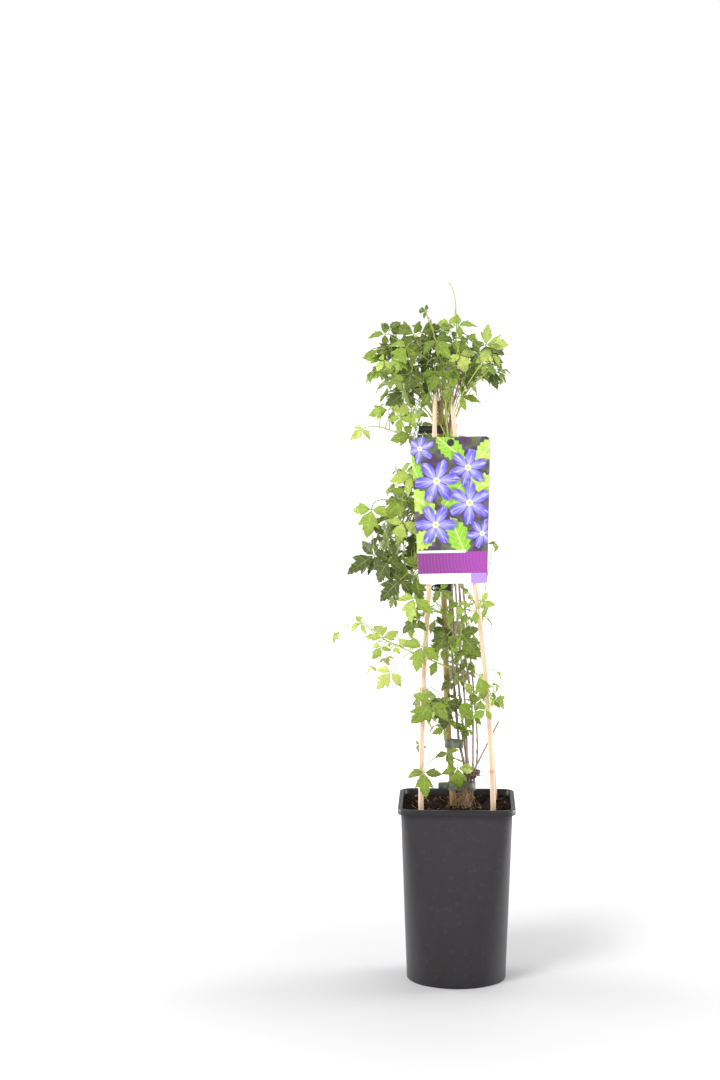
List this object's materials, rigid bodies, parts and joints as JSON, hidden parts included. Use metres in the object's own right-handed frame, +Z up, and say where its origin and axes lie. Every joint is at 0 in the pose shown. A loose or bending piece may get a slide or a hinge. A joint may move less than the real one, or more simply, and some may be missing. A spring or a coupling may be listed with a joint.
{
  "type": "potted clematis plant",
  "caption": "Climbing plant with toothed three-part leaves on bamboo canes tied together at the top, in a tall square-topped nursery pot with a hanging picture card.",
  "frame": {"origin": "centre of the pot's flat underside, on the floor", "axes": "+Z up along the canes, -Y towards the side with the picture card, +X to the right of someone looking at the card"},
  "size_m": [0.2191, 0.138, 0.8274],
  "materials": {
    "pot_plastic": "moulded charcoal plastic, satin with faint upright flow streaks",
    "potting_soil": "damp peat with bark chips and pale straw bits",
    "pale_bamboo": "smooth pale peach-tan bamboo with fine long grain and darker joints",
    "olive_bamboo": "olive-tan bamboo with long streaks",
    "old_bark": "peeling purple-brown bark",
    "tie_tape": "grey-green stretch tape",
    "black_tie": "black plastic strip",
    "printed_card": "glossy printed card: violet star flowers on lime foliage over a magenta band",
    "black_button": "black moulded plastic",
    "leaf": "mid green blades with paler veins and pale undersides on light green stalks"
  },
  "bodies": {
    "root": {"pot": "pot_plastic", "soil": "potting_soil", "cane_front_left": "pale_bamboo", "cane_front_right": "pale_bamboo", "cane_back_right": "pale_bamboo", "cane_middle": "olive_bamboo", "woody_stems": "old_bark", "tie_low": "tie_tape", "tie_middle": "tie_tape", "tie_upper": "black_tie", "tie_top": "black_tie", "picture_card": "printed_card", "card_button": "black_button", "shoot_foot": "leaf", "shoot_low_left": "leaf", "shoot_low_right": "leaf", "shoot_right": "leaf", "shoot_far_left": "leaf", "shoot_mid_left": "leaf", "shoot_mid_centre": "leaf", "shoot_mid_right": "leaf", "shoot_left_low": "leaf", "shoot_left": "leaf", "shoot_left_high": "leaf", "shoot_crown_left": "leaf", "shoot_crown_back_left": "leaf", "shoot_crown_middle": "leaf", "shoot_crown_tendril": "leaf", "shoot_crown_right": "leaf", "shoot_back_low": "leaf", "shoot_back_middle": "leaf", "shoot_back_high": "leaf", "shoot_back_top": "leaf"}
  },
  "joints": []
}
